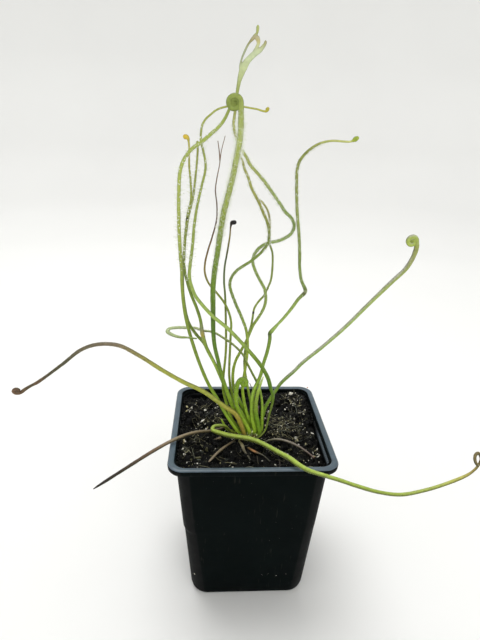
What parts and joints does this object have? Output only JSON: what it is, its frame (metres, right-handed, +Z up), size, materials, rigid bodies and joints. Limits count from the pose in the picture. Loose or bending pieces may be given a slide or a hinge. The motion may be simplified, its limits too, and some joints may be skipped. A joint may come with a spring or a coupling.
{
  "type": "potted sundew",
  "caption": "Fork-leaved sundew with long thread leaves, coiled tips and a forked tip, growing in damp peat in a square tapered nursery pot.",
  "frame": {"origin": "centre of the pot's underside, where it rests", "axes": "+Z up, +X to the right along the pot's front wall, -Y towards the viewer in front of the pot"},
  "size_m": [0.2333, 0.1049, 0.3027],
  "materials": {
    "black_plastic": "satin",
    "peat": "matte",
    "green_leaf": "satin",
    "pale_green_leaf": "satin",
    "olive_leaf": "satin",
    "dry_leaf": "matte"
  },
  "bodies": {
    "root": {"square_nursery_pot": "black_plastic", "peat_soil": "peat", "crown": "green_leaf", "tall_coiled_leaf": "green_leaf", "forked_tip_leaf": "pale_green_leaf", "forward_arching_leaf": "pale_green_leaf", "swollen_bend_leaf": "pale_green_leaf", "rear_left_leaf": "green_leaf", "side_loop_leaf": "pale_green_leaf", "dry_tipped_leaf": "olive_leaf", "black_tipped_leaf": "olive_leaf", "wide_looping_leaf": "pale_green_leaf", "inner_looping_leaf": "pale_green_leaf", "rear_thin_leaf": "green_leaf", "kinked_bud_leaf": "green_leaf", "short_bright_leaf": "green_leaf", "right_coiled_leaf": "green_leaf", "left_spreading_leaf": "olive_leaf", "front_trailing_leaf": "olive_leaf", "young_crozier_leaf": "green_leaf", "small_hooked_leaf": "olive_leaf", "brown_hanging_leaf": "dry_leaf", "withered_leaf_front_left": "dry_leaf", "withered_leaf_front": "dry_leaf", "withered_leaf_arched": "dry_leaf", "withered_leaf_orange": "dry_leaf", "withered_thread_front": "dry_leaf", "withered_stub_left": "dry_leaf", "withered_thread_right": "dry_leaf", "purple_withered_leaf": "dry_leaf", "dry_thread_leaf": "dry_leaf"}
  },
  "joints": []
}
